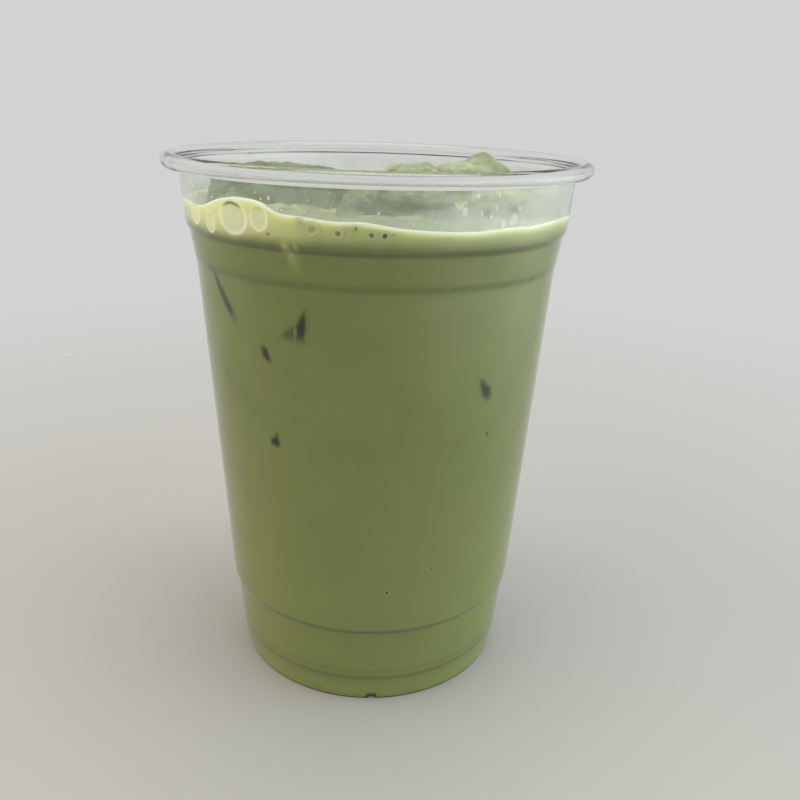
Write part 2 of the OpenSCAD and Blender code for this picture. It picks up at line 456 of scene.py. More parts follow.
clearPlastic, tree, shader = newMaterial("clearPlastic")
flow = put(tree, "TexCoord", (-900, -300)).outputs["Object"]
flow = put(tree, "Mapping", (-700, -300), {"Vector": flow, "Scale": (1.0, 1.0, 0.12)}).outputs[0]
flow = put(tree, "TexNoise", (-500, -300), {"Vector": flow, "Scale": 160.0, "Detail": 2.0}).outputs["Fac"]
feed(tree, shader, {"Base Color": (0.975, 0.985, 0.98, 1), "Roughness": 0.03, "IOR": 1.57,
                    "Transmission Weight": 1.0,
                    "Normal": bumpFrom(tree, flow, 0.05, 0.0004, (-250, -300))})
# light passes straight through to the drink; the eye still sees bent light and gloss
passing = put(tree, "BsdfTransparent", (0, -400), {"Color": (0.94, 0.95, 0.945, 1)}).outputs[0]
path = put(tree, "LightPath", (-500, 500)).outputs
deepRay = calc(tree, "GREATER_THAN", (-250, 450), path["Ray Depth"], 7.0)
straight = calc(tree, "MAXIMUM", (0, 400), path["Is Shadow Ray"], deepRay)
mixed = put(tree, "MixShader", (300, 0), {0: straight, 1: shader.outputs[0], 2: passing}).outputs[0]
tree.links.new(mixed, tree.nodes["Material Output"].inputs["Surface"])

cupAngles = notchColumns(cupShape)
smooth, innerStart = cupProfile(cupShape)
profile = spread(smooth, 3.2, 6.5)
profile[0, 0] = profile[-1, 0] = 0.0
radius, height = profile[:, :1], profile[:, 1:]
run = runLength(profile)
isInner = (run / run[-1] > innerStart)[:, None]
arch = np.where(isInner, archOver(cupAngles, cupShape["wall"]), archOver(cupAngles, 0.0)) * onFoot(radius)
lifted = np.maximum(height, arch)
bent = bentRadius(radius, cupAngles, height)
cupShell = gridMesh("cupShell", around(bent, cupAngles, lifted), clearPlastic)
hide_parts("cup")
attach(cupShell, "root")


# the drink up to the froth

drinkShape = {
    "intoWall": 0.2,
    "top": 111.0,
    "under": [(0, 5.65), (31.15, 5.65), (32.65, 0.3)],
    "columns": 240,
    "nearNotch": (3.4, 25, 3.6),
    "drink": hue(137, 146, 84),
    # cream and pale are the froth's own tones with painted light added; dark is painted shade at the notch
    # and in the large bubbles, and the colour of the ice marks and the bubble middles
    "cream": hue(213, 219, 154),
    "pale": hue(247, 247, 230),
    "dark": hue(44, 50, 28),
    # height of each ring's fold, softness above and below it, depth of the painted shade
    "foldShades": [(111.35, 1.3, 0.45, 0.3), (104.05, 1.2, 0.5, 0.24), (21.35, 0.45, 0.5, 0.42),
              (6.85, 0.45, 0.55, 0.26), (8.7, 0.35, 0.35, 0.12)],
    # soft olive patches: angle, height, half width, half height, turn, depth of the tone
    "patches": [(-143.0, 80.0, 4.2, 5.2, -12, 0.1), (-134.0, 79.4, 1.6, 3.6, -8, 0.08),
                (-128.9, 75.2, 0.9, 4.6, -42, 0.1), (-151.0, 64.0, 4.0, 0.8, 8, 0.08),
                (-145.3, 85.6, 0.6, 1.8, 12, 0.14), (-73.0, 77.0, 7.5, 9.0, 30, 0.06),
                (-66.0, 70.0, 5.0, 6.5, 20, 0.05), (-97.0, 69.0, 9.0, 4.0, 10, 0.03),
                (-40.0, 84.0, 4.0, 6.0, -35, 0.05), (-30.0, 71.0, 3.2, 5.5, -30, 0.04),
                (-125.0, 103.0, 1.4, 3.4, 5, 0.06), (-104.0, 45.0, 12.0, 9.0, 0, 0.03)],
    # painted light: how much lighter it gets, from one height down to another
    "lighter": [(0.16, 70, 8), (0.14, 5.8, 3.0)],
}

frothShape = {
    "bottom": 111.0,
    "level": 115.2,
    "sideRows": 44,
    "topRows": 92,
    # height and depth of the rounding under the edge, and how far from the wall the top falls
    "edgeRound": (0.9, 0.35),
    "edgeFall": 1.7,
    # angle and spread of the zone where the froth is thickest
    "frothy": (-137, 21),
    # heights between which the drink turns to cream, the froth's paler colour with painted light added
    "creamRise": (112.0, 115.2),
    # spread of the pale line along the edge, a thin milk film painted lighter for the light through it
    "paleLine": 0.85,
    # domes of foam on top: size of their lattice, shift in x, seed, least and most radius, height
    "domes": [(2.2, 0, 5, 0.25, 0.62, 0.22), (1.0, 40, 6, 0.25, 0.62, 0.3), (4.4, -30, 9, 0.08, 0.42, 0.25)],
    # angle and height of the edge where the froth meets the wall
    "edge": [(-180, 116.9), (-159, 117.8), (-147, 117.5), (-142, 117.9), (-135, 119.6), (-128, 120.6),
             (-123, 120.5), (-119, 120.0), (-117, 119.0), (-114, 118.2), (-109, 118.1), (-101, 117.5),
             (-94, 117.8), (-89, 117.2), (-85, 116.7), (-77, 116.1), (-64, 115.8), (-57, 116.1),
             (-46, 116.1), (-29, 116.4), (-14, 115.9), (10, 115.7), (40, 116.3), (75, 115.9), (105, 116.4),
             (140, 116.0), (165, 116.5), (180, 116.9)],
    # large bubbles pressed to the wall: angle, height, half width, half height, depth, strength of the
    # painted shade crescent at the top
    "bubbles": [(-129.6, 116.5, 3.9, 3.3, 0.35, 0.75), (-120.8, 116.9, 2.1, 2.4, 0.3, 0.25),
                (-139.6, 114.6, 1.7, 2.1, 0.15, 0.0), (-148.5, 115.6, 2.4, 2.2, 0.15, 0.0)],
    # milk that has run down from the froth: angle, height, half width, half height, turn, strength
    "runs": [(-114.4, 114.9, 1.7, 1.9, 0, 0.7), (-113.6, 112.4, 0.9, 1.8, 12, 0.6),
             (-112.2, 110.2, 0.85, 2.2, 16, 0.5), (-110.9, 113.4, 0.6, 2.4, 8, 0.5)],
    # lumps of ice that the froth climbs a little: x, y, radius
    "lumps": [(-23.4, 2.2, 13.5), (7.5, 6.2, 8.0), (24.7, 18.1, 10.8), (5.3, -16.8, 10.5),
              (30.0, -14.1, 8.6)],
    # columns: from an angle, to an angle, in steps of
    "columns": [(-162, -78, 0.26), (-78, -10, 0.42), (-10, 198, 0.95)],
}
frothAngles = np.concatenate([np.arange(*part) for part in frothShape["columns"]])


def edgeHeight(angle):
    # the heights of the edge, joined by a periodic line and rounded by a narrow bell
    knots = np.array(frothShape["edge"])
    fine = np.arange(-180, 180, 0.25)
    line = np.interp(fine, knots[:, 0], knots[:, 1])
    reach = np.arange(-24, 25)
    kernel = bell(reach * 0.25, 2.2)
    kernel /= kernel.sum()
    wrapped = np.concatenate([line[-24:], line, line[:24]])
    line = np.convolve(wrapped, kernel, mode="valid")
    line = line + 0.12 * latticeNoise(around(12.0, fine, 0.0), 1.4, 8)
    return np.interp(turnDegrees(angle), np.append(fine, 180), np.append(line, line[0]))


def wallOffset(angle, height, middle):
    # across and up from a point on the wall, in millimetres
    across = turnDegrees(angle - middle[0]) * np.pi / 180 * insideRadius(middle[1])
    return across, height - middle[1]


def bubbleReach(angle, height, bubble):
    # distance from a bubble's middle as a share of its half width and half height
    across, up = wallOffset(angle, height, bubble[:2])
    return np.sqrt((across / bubble[2]) ** 2 + (up / bubble[3]) ** 2)


def turnedBell(angle, height, patch):
    # exp(-(x/w)^2 - (y/h)^2) round a patch's middle on the wall, in axes turned by its fifth value
    x, y = turnedAxes(*wallOffset(angle, height, patch[:2]), patch[4])
    return bell(x, patch[2]) * bell(y, patch[3])


def drinkShade(angle, height):
    # broad clouds, and soft patches that darken
    tone = 1 + 0.02 * layeredNoise(around(40.0, angle, height), 26.0, 11)
    uneven = 1 + 0.35 * latticeNoise(around(40.0, angle, height), 3.0, 31)
    for patch in drinkShape["patches"]:
        tone = tone - patch[5] * turnedBell(angle, height, patch) * uneven
    # painted shade: each ring's fold shows as a thin dark line, softer above than below
    for fold, above, below, depth in drinkShape["foldShades"]:
        side = height - fold
        tone = tone * (1 - depth * np.where(side > 0, bell(side, above), bell(side, below)))
    # painted light that grows towards the bottom
    for amount, high, low in drinkShape["lighter"]:
        tone = tone * (1 + amount * ramp(height, high, low))
    return tone


def skinLayers(angle, height):
    # how the milk looks against the wall at a place: drink below, cream towards the froth's edge,
    # and a pale line along the edge; cream and the pale line are the froth's tones with painted light added
    depth = edgeHeight(angle) - height
    streaks = 0.25 * latticeNoise(around(14.0, angle, height * 0.25), 0.9, 71)
    frothyAngle, frothySpread = frothShape["frothy"]
    frothy = bell(turnDegrees(angle - frothyAngle), frothySpread) ** 0.5
    low, high = frothShape["creamRise"]
    cream = ramp(height + streaks, low - 0.5 * frothy, high - 1.2 * frothy)
    cream = np.clip(cream * (0.62 + 0.28 * ramp(-depth, -2.2, -0.4) + 0.3 * frothy), 0, 1)
    for run in frothShape["runs"]:
        cream = np.maximum(cream, run[5] * turnedBell(angle, height, run))
    # painted light: a thin milk film along the edge, painted pale for the light that shines through it from
    # inside the cup
    pale = bell(np.clip(depth, 0, None), frothShape["paleLine"])
    pale = np.maximum(pale, 0.4 * frothy * ramp(height, 112.8, 115.5))
    # painted shade: behind the clear arch of the notch the milk is darkened for the shadow in the recess
    across, up = wallOffset(angle, height, (cupShape["notchAngle"], 0.0))
    shadeWide, shadeHigh = cupShape["notchShade"]
    dark = 0.9 * ramp(np.hypot(across / shadeWide, up / shadeHigh), 1.05, 0.85)
    for bubble in frothShape["bubbles"]:
        reach = bubbleReach(angle, height, bubble)
        inside = ramp(reach, 1.0, 0.9)
        pale = np.maximum(pale * (1 - inside), bell(reach - 1.0, 0.09) * 0.95)
        # painted light: the bubble's inside takes the froth's pale tone, lighter towards its lower part as if
        # lit from above
        pale = pale + inside * (0.6 - 0.25 * ramp((height - bubble[1]) / bubble[3], 0.2, 0.8))
        # painted shade: a dark crescent just inside the bubble's upper rim
        top = bell(reach - 0.82, 0.11) * ramp((height - bubble[1]) / bubble[3], 0.45, 0.8)
        dark = np.maximum(dark, bubble[5] * top)
    return {"shade": drinkShade(angle, height), "cream": cream, "pale": pale, "dark": dark}


skinColours = {name: ("Color", drinkShape[name.lower()]) for name in ("Drink", "Cream", "Pale", "Dark")}
milkSkin, skinIn, skinOut = newGroup("milkSkin", skinColours, {"Colour": ("Color", None)})
shade = layerValue(milkSkin, "shade", (-900, 250))
tinted = placeGroup(milkSkin, cloudy, (-600, 250), {"Colour": skinIn["Drink"], "Shade": shade,
                                                    "Cloud size": 0.009, "Cloud strength": 0.03})["Colour"]
for k, name in enumerate(("Cream", "Pale", "Dark")):
    mask = layerValue(milkSkin, name.lower(), (-600 + 220 * k, -200))
    tinted = mixColour(milkSkin, mask, tinted, skinIn[name], (-350 + 220 * k, 150))
milkSkin.links.new(tinted, skinOut["Colour"])


def milkMaterial(name, roughness, specular):
    material, tree, shader = newMaterial(name)
    colour = placeGroup(tree, milkSkin, (-300, 100))["Colour"]
    feed(tree, shader, {"Base Color": colour, "Roughness": roughness, "Specular IOR Level": specular})
    return material, tree, shader


drinkMilk, tree, shader = milkMaterial("drinkMilk", 0.5, 0.1)
heights = np.linspace(1.0, drinkShape["top"], 1400)
side = np.stack([insideRadius(heights) + drinkShape["intoWall"], heights], axis=1)
corner = (insideRadius(cupShape["channelBottom"] + 0.1) + 0.05, drinkShape["under"][-1][1])
path = np.concatenate([drinkShape["under"], [corner], side, [(0, drinkShape["top"])]])
profile = spread(path, 0.9, 8.0)
profile[0, 0] = profile[-1, 0] = 0.0
angles = notchColumns(drinkShape)
radius, height = profile[:, :1], profile[:, 1:]
lifted = np.maximum(height, (archOver(angles, cupShape["wall"]) - 0.3) * onFoot(radius))
bent = bentRadius(radius, angles, height)
drinkBody = gridMesh("drinkBody", around(bent, angles, lifted), drinkMilk, skinLayers(angles, height))
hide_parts("drink")
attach(drinkBody, "root")


# the froth with its wavy edge

def frothSurface():
    # first the side from the bottom to the wavy edge, then the top from the edge to the axis:
    # the top falls from the edge with a steep curve and carries low domes of foam
    angle = frothAngles[None, :]
    edge = edgeHeight(frothAngles)[None, :]
    t = np.linspace(0, 1, frothShape["sideRows"])[:, None]
    sideZ = frothShape["bottom"] + (edge - 0.1 - frothShape["bottom"]) * t
    roundHigh, roundDeep = frothShape["edgeRound"]
    rounding = roundDeep * (1 - arc(ramp(sideZ, edge - roundHigh, edge)))
    sideR = insideRadius(sideZ) + drinkShape["intoWall"] + wobble(angle, sideZ) - rounding
    for bubble in frothShape["bubbles"]:
        reach = bubbleReach(angle, sideZ, bubble)
        sideR = sideR - bubble[4] * arc(reach) ** 1.3
    s = np.linspace(0, 1, frothShape["topRows"])[1:, None]
    edgeR = insideRadius(edge) - 0.15
    topR = edgeR * (1 - s ** 1.35)
    depth = edgeR - topR
    x, y = topR * np.cos(np.radians(angle)), topR * np.sin(np.radians(angle))
    flat = np.stack([x, y, 0 * x], axis=-1)
    topZ = frothShape["level"] + (edge - frothShape["level"]) * bell(depth, frothShape["edgeFall"])
    off = ramp(depth, 0.3, 2.5)
    domes = sum(cellDomes(x + shift, y, cell, seed, least, most) * tall
                for cell, shift, seed, least, most, tall in frothShape["domes"])
    topZ = topZ + off * (domes + 0.45 * layeredNoise(flat, 9.0, 21) + 0.1)
    for lumpX, lumpY, lumpR in frothShape["lumps"]:
        gap = np.hypot(x - lumpX, y - lumpY) - lumpR
        topZ = topZ + 0.8 * bell(np.clip(gap, 0, None), 2.0) * off
    topZ[-1] = topZ[-1].mean()
    points = np.concatenate([around(0 * sideR[:1], angle, sideZ[:1]), around(sideR, angle, sideZ),
                             around(topR, angle, topZ)])
    skin = skinLayers(angle, sideZ)
    above = {"shade": 1 + 0.1 * layeredNoise(flat, 6.0, 23),
             "cream": 0.5 + 0.15 * layeredNoise(flat, 3.0, 24),
             "pale": 0.1 + 0.3 * ramp(domes, 0.08, 0.45) + 0.6 * bell(depth, 0.8),
             "dark": 0.1 * ramp(latticeNoise(flat, 1.3, 25), 0.35, 0.8) * off}
    layers = {key: np.concatenate([skin[key][:1], skin[key], above[key]]) for key in skin}
    layers["foam"] = np.concatenate([0 * sideZ[:1], 0 * sideZ, off + 0 * topZ])
    return points, layers


frothFoam, tree, shader = milkMaterial("frothFoam", 0.4, 0.3)
# light that falls on the froth from above comes out again at its side
feed(tree, shader, {"Subsurface Weight": 0.8, "Subsurface Radius": (1.0, 1.1, 0.6),
                    "Subsurface Scale": 0.003})
foam = placeGroup(tree, cells, (-700, -300), {"Cell size": 0.00055})["Height"]
foam = calc(tree, "MULTIPLY", (-450, -350), foam, layerValue(tree, "foam", (-700, -500)))
feed(tree, shader, {"Normal": bumpFrom(tree, foam, 0.35, 0.0003, (-250, -300))})

frothPoints, frothLayers = frothSurface()
frothLayer = gridMesh("frothLayer", frothPoints, frothFoam, frothLayers)
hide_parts("froth")
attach(frothLayer, "root")


# the lumps of ice that stand above the surface

lumpGrid = {"rows": 150, "columns": 220}


def iceSurface(lump):
    # the distance to the surface along each direction is a smooth blend of flat cuts,
    # (sum of max(0, n . d / h)^p)^(-1/p), then broad dents, small dents and fine grain
    polar = np.linspace(0, np.pi, lumpGrid["rows"])[:, None]
    turn = fullTurn(lumpGrid["columns"])[None, :]
    d = np.stack(np.broadcast_arrays(np.sin(polar) * np.cos(turn), np.sin(polar) * np.sin(turn),
                                     np.cos(polar)), axis=-1)
    rng = np.random.default_rng(lump["seed"])
    sizes = np.array(lump["half"])
    box = np.concatenate([np.eye(3), -np.eye(3)]) + rng.normal(0, lump["lean"], (6, 3))
    corner = np.array([(i, j, k) for i in (-1, 1) for j in (-1, 1) for k in (-1, 1)], float)
    corner = corner / sizes + rng.normal(0, 0.03, (8, 3))
    normals = np.concatenate([box, corner])
    normals /= np.linalg.norm(normals, axis=1, keepdims=True)
    reach = np.abs(normals[:6] * sizes).max(axis=1)
    cut = np.abs(normals[6:] * sizes).sum(axis=1) * rng.uniform(0.62, 0.8, 8)
    heights = np.concatenate([reach, cut])
    share = np.clip(d @ normals.T, 0, None) / heights
    far = (share ** lump["sharp"]).sum(axis=-1) ** (-1 / lump["sharp"])
    points = d * far[..., None]
    dents = lump["dent"] * layeredNoise(points + 60, 7.0, lump["seed"] + 1, 2)
    dents = dents + 0.35 * latticeNoise(points + 20, 2.2, lump["seed"] + 2)
    dents = dents + 0.13 * layeredNoise(points, 0.9, lump["seed"] + 3, 2)
    x, y, z = np.moveaxis(points + d * dents[..., None], -1, 0)
    alongX, alongY = lump.get("slope", (0, 0))
    z = z + (x * alongX + y * alongY) * ramp(z, 0, sizes[2])
    for bumpX, bumpY, bumpHigh, bumpWide in lump.get("bumps", []):
        z = z + bumpHigh * bell(np.hypot(x - bumpX, y - bumpY), bumpWide) * ramp(z, 0, sizes[2])
    place = np.stack([*turnedAxes(x, y, -lump["turn"]), z], axis=-1) + np.array(lump["middle"])
    # what would pass the wall is brought back to just inside it
    room = insideRadius(place[..., 2]) - 0.35
    out = np.hypot(place[..., 0], place[..., 1])
    place[..., :2] *= np.minimum(1, room / np.maximum(out, 1e-6))[..., None]
    place[0], place[-1] = place[0].mean(axis=0), place[-1].mean(axis=0)
    # froth stays where the lump is flat on top and just above the surface round it
    flat = ramp(z, 0.55 * sizes[2], 1.05 * sizes[2])
    foot = bell(place[..., 2] - 116.2, 1.0)
    torn = ramp(layeredNoise(place, 4.0, lump["seed"] + 5), -0.2, 0.4)
    caught = np.clip(0.55 * flat * torn + 0.8 * foot, 0, 1)
    return place, {"dents": np.clip(dents / 0.6, -1, 1), "froth": caught}


def iceMaterial(name, look):
    # froth colour, a darker wet tone in the patches, painted shade in the dents and painted light on the
    # bulges, and grain in the bump
    material, tree, shader = newMaterial(name)
    marks = placeGroup(tree, grain, (-900, -100), {"Grain size": look["grain"], "Layers": look["layers"]})
    colour = mixColour(tree, marks["Patches"], look["wet"], look["coat"], (-500, 200))
    caught = calc(tree, "MULTIPLY", (-700, 450), layerValue(tree, "froth", (-900, 500)), marks["Patches"])
    colour = mixColour(tree, caught, colour, look["froth"], (-350, 400))
    # painted shade: the colour darkens in the dents and lightens on the bulges
    hollowShade = remap(tree, layerValue(tree, "dents", (-700, -400)), (-0.7, 0.6), (0.72, 1.12), (-500, -400))
    feed(tree, shader, {"Base Color": scaleColour(tree, colour, hollowShade, (-150, 200)),
                        "Normal": bumpFrom(tree, marks["Height"], 0.5, 0.0005, (-250, -300)),
                        "Roughness": look["roughness"], "Coat Weight": look["coatGloss"],
                        "Coat Roughness": 0.12})
    return material


iceLooks = {
    "coatedIce": {"coat": hue(164, 174, 130), "wet": hue(128, 140, 98), "froth": hue(186, 195, 152),
                  "grain": 0.0009, "layers": 1.3, "roughness": 0.42, "coatGloss": 0.3},
    "wetIce": {"coat": hue(124, 132, 98), "wet": hue(78, 86, 60), "froth": hue(170, 178, 140),
               "grain": 0.0012, "layers": 3.5, "roughness": 0.3, "coatGloss": 0.4},
    "shadedIce": {"coat": hue(126, 137, 102), "wet": hue(96, 108, 76), "froth": hue(152, 162, 122),
                  "grain": 0.0010, "layers": 1.6, "roughness": 0.4, "coatGloss": 0.25},
}
iceFinish = {name: iceMaterial(name, look) for name, look in iceLooks.items()}

lumpList = [
    # the slope raises a lump's top along x and y; each bump has x, y, height and width
    {"name": "iceLump1", "node": "ice_1", "finish": "shadedIce", "half": (17.0, 12.4, 10.6), "turn": 6,
     "middle": (-23.4, 1.6, 112.6), "sharp": 9, "lean": 0.06, "dent": 0.7, "seed": 41, "slope": (0.06, 0.0),
     "bumps": [(-15.8, 0.0, -2.4, 2.2), (-11.0, 0.0, 1.7, 3.6), (-3.5, 0.5, 1.3, 5.0), (4.2, 0.0, 0.9, 4.0),
               (10.5, -1.0, 0.6, 4.0)]},
    {"name": "iceLump2", "node": "ice_2", "finish": "coatedIce", "half": (8.2, 7.8, 11.0), "turn": -8,
     "middle": (6.9, 6.2, 113.3), "sharp": 8, "lean": 0.08, "dent": 0.7, "seed": 52, "slope": (0.08, 0.0),
     "bumps": [(-5.5, 0.0, -1.6, 2.6), (5.0, 0.0, 0.3, 2.6)]},
    {"name": "iceLump3", "node": "ice_3", "finish": "coatedIce", "half": (12.0, 9.6, 11.0), "turn": 20,
     "middle": (23.0, 18.1, 113.0), "sharp": 7, "lean": 0.08, "dent": 0.8, "seed": 63, "slope": (0.10, 0.0),
     "bumps": [(3.6, 0.0, 3.3, 4.6), (-9.0, 0.0, 0.4, 3.0)]},
    {"name": "iceLump4", "node": "ice_4", "finish": "wetIce", "half": (13.0, 8.9, 9.6), "turn": -4,
     "middle": (4.6, -16.8, 112.3), "sharp": 10, "lean": 0.07, "dent": 0.6, "seed": 74},
    {"name": "iceLump5", "node": "ice_5", "finish": "coatedIce", "half": (9.4, 8.0, 9.4), "turn": -25,
     "middle": (28.6, -14.6, 112.2), "sharp": 9, "lean": 0.1, "dent": 0.7, "seed": 85, "slope": (0.05, 0.0)},
]
for lump in lumpList:
    place, layers = iceSurface(lump)
    piece = gridMesh(lump["name"], place, iceFinish[lump["finish"]], layers)
    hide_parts(lump["node"])
    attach(piece, "root")


# ice under the surface, seen where it touches the wall

iceMarks = {
    "rings": 12,
    "columns": 56,
    "thick": 0.5,
    "proud": 0.25,
    "sharp": 9,
    # angle and height of the middle, corners across and up, where the soft edge starts, and darkness
    "marks": [
        ((-140.4, 99.2), [(-5.6, 8.0), (-4.2, 7.4), (5.6, -4.2), (5.9, -6.6), (3.6, -7.0),
          (-2.3, 0.6)], 0.3, 0.85),
        ((-113.6, 94.4), [(3.8, 5.0), (3.1, -2.8), (-0.5, -3.0), (-3.9, -2.2), (-3.3, -0.3),
          (0.2, 2.2)], 0.25, 0.6),
        ((-110.8, 95.7), [(1.1, 5.0), (1.7, 3.2), (0.8, -4.2), (-1.9, -4.2), (-1.7, 0.6)], 0.3, 0.97),
        ((-123.3, 88.5), [(-1.9, 2.0), (-0.7, 2.9), (0.6, 2.2), (2.0, -1.4), (0.9, -2.8),
          (-1.2, -0.8)], 0.25, 0.97),
        ((-122.0, 68.7), [(1.1, 3.2), (1.8, -1.0), (0.4, -2.2), (-2.0, -1.1), (-1.8, 0.5)], 0.25, 1.0),
        ((-54.2, 81.1), [(-2.9, 4.6), (-1.5, 3.8), (2.4, 0.0), (2.8, -2.6), (0.5, -3.6),
          (-1.7, -1.2)], 0.25, 0.92),
        ((-51.3, 70.3), [(0.55, 0.7), (0.5, -0.5), (-0.1, -0.8), (-0.6, -0.2), (-0.3, 0.6)], 0.3, 0.75),
        ((-39.5, 103.8), [(1.1, 1.3), (0.6, -0.9), (-1.2, -1.1), (-0.8, 0.6)], 0.3, 0.45),
    ],
}


def outlineRadius(corners, theta, sharp):
    # distance to a rounded polygon: (sum of max(0, n . d / h)^p)^(-1/p) over its edges
    edge = np.roll(corners, -1, axis=0) - corners
    normal = np.stack([edge[:, 1], -edge[:, 0]], axis=1)
    normal /= np.linalg.norm(normal, axis=1, keepdims=True)
    away = (normal * corners).sum(axis=1)
    normal = normal * np.sign(away)[:, None]
    away = np.clip(np.abs(away), 0.25, None)
    share = np.clip(np.stack([np.cos(theta), np.sin(theta)], axis=-1) @ normal.T, 0, None) / away
    return (share ** sharp).sum(axis=-1) ** (-1 / sharp)


def evenTurn(corners, columns):
    # directions that lie closer together along a long outline's ends: atan2(b sin, a cos), turned
    values, axes = np.linalg.eigh(np.cov(corners.T))
    phi = fullTurn(columns)
    long, short = np.sqrt(values[1]), np.sqrt(values[0])
    return np.arctan2(short * np.sin(phi), long * np.cos(phi)) + math.atan2(axes[1, 1], axes[0, 1])


def wallLens(middle, radii, theta, rings, proud, thick):
    # a thin lens on the inner wall: its front goes from the middle to the edge, its back returns
    share = outAndBack(rings)[:, None]
    height = middle[1] + share * radii * np.sin(theta)
    angle = middle[0] + np.degrees(share * radii * np.cos(theta) / insideRadius(middle[1]))
    back = np.arange(len(share))[:, None] >= rings
    inward = np.where(back, thick * arc(share), 0.0)
    radius = insideRadius(height) + proud - inward + wobble(angle, height)
    return around(radius, angle, height), angle, height, share + 0 * angle


def lensPiece(name, lenses, rings):
    # one mesh from many lenses, each given as its points and its layers
    points, layers = zip(*lenses)
    stacked = {key: np.stack([one[key] for one in layers]) for key in layers[0]}
    return gridMesh(name, np.stack(points), drinkMilk, stacked, crease=rings - 1)


lenses = []
for number, (middle, corners, core, depth) in enumerate(iceMarks["marks"]):
    corners = np.array(corners, float)
    theta = evenTurn(corners, iceMarks["columns"])
    reach = outlineRadius(corners, theta, iceMarks["sharp"])
    lens, angle, height, share = wallLens(middle, reach, theta, iceMarks["rings"],
                                          iceMarks["proud"] + 0.02 * (number % 3), iceMarks["thick"])
    skin = skinLayers(angle, height)
    ragged = share + 0.12 * latticeNoise(around(40.0, angle, height), 0.8, 91)
    skin["dark"] = depth * ramp(ragged, 1.0, core)
    lenses.append((lens, skin))
iceTips = lensPiece("iceTips", lenses, iceMarks["rings"])
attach(iceTips, "root")


# small bubbles in the milk against the wall

wallBubbleSet = {
    "rings": 10,
    "columns": 28,
    "proud": 0.26,
    "thick": 0.4,
    # angle, height, radius of the pale halo, radius of the dark middle, darkness, paleness
    "list": [(-109.05, 116.85, 1.0, 0.45, 0.18, 0.15), (-106.0, 115.8, 1.55, 0.75, 0.3, 0.22),
             (-99.5, 115.25, 1.15, 0.55, 0.55, 0.22), (-96.95, 116.1, 0.8, 0.4, 0.15, 0.14),
             (-95.1, 116.3, 0.6, 0.36, 0.6, 0.12), (-91.4, 115.2, 1.0, 0.5, 0.7, 0.18),
             (-88.2, 115.1, 1.0, 0.52, 0.85, 0.18), (-86.0, 115.3, 0.4, 0.25, 0.45, 0.05),
             (-118.1, 114.1, 0.8, 0.38, 0.55, 0.1), (-84.2, 32.9, 1.0, 0.42, 0.8, 0.14),
             (-68.8, 37.9, 0.9, 0.34, 0.7, 0.12), (-95.8, 40.3, 0.5, 0.25, 0.25, 0.02),
             (-83.6, 68.4, 0.5, 0.25, 0.2, 0.02), (-104.5, 114.2, 0.5, 0.2, 0.2, 0.1),
             (-72.4, 114.6, 0.5, 0.22, 0.22, 0.08), (-121.5, 112.9, 0.6, 0.3, 0.25, 0.08)],
}
lenses = []
theta = fullTurn(wallBubbleSet["columns"])
for place, high, halo, middle, darkness, paleness in wallBubbleSet["list"]:
    uneven = 1 + 0.08 * np.sin(2 * theta + place) + 0.04 * np.sin(3 * theta + 2 * place)
    lens, angle, height, share = wallLens((place, high), halo * uneven, theta, wallBubbleSet["rings"],
                                          wallBubbleSet["proud"], wallBubbleSet["thick"])
    skin = skinLayers(angle, height)
    core = middle / halo
    ring = paleness * bell(share - core * 1.35, 0.25) * ramp(share, 1.0, 0.8)
    skin["pale"] = np.maximum(skin["pale"], ring)
    skin["dark"] = darkness * ramp(share, core * 1.25, core * 0.55)
    lenses.append((lens, skin))
wallBubbles = lensPiece("wallBubbles", lenses, wallBubbleSet["rings"])
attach(wallBubbles, "root")


# the milky film and drops on the inner wall above the froth

filmShape = {
    "top": 123.6,
    "rows": 34,
    "columns": 640,
    "off": 0.03,
    "thick": 0.05,
    "radius": 44.0,
    "colour": hue(208, 216, 198),
    "strength": 0.61,
    # dark wet patches in the film: angle, height, half width, half height, strength
    "wet": [(-53.6, 119.6, 2.0, 1.1, 0.75), (-50.8, 120.6, 1.3, 0.6, 0.5), (-62.0, 119.4, 1.0, 0.9, 0.6),
            (-58.3, 120.2, 0.7, 0.5, 0.4), (-112.8, 119.4, 0.8, 0.5, 0.5), (-115.6, 120.1, 0.6, 0.35, 0.4),
            (-70.0, 121.0, 2.6, 0.25, 0.35), (-61.0, 121.5, 2.4, 0.2, 0.4), (-50.5, 122.1, 3.0, 0.22, 0.45)],
    "wetColour": hue(96, 106, 88),
    "above": 0.13,
    # where the faint part is denser and where it is fainter: angle, spread, amount
    "haze": [(-107, 8, 2.0), (-127, 13, -0.75)],
    # angle and height where the denser film ends
    "reach": [(-180, 118.5), (-150, 118.6), (-140, 118.2), (-134, 120.2), (-128, 121.0), (-119, 120.0),
              (-113, 119.6), (-107, 119.6), (-99, 119.2), (-94, 119.1),
              (-85, 119.3), (-77.5, 119.9), (-70.6, 120.6), (-58.8, 121.3), (-52, 121.7), (-40.6, 122.1),
              (-26, 123.0), (-12, 121.0), (10, 119.5), (40, 119.0), (95, 119.4), (140, 118.9), (180, 118.5)],
}


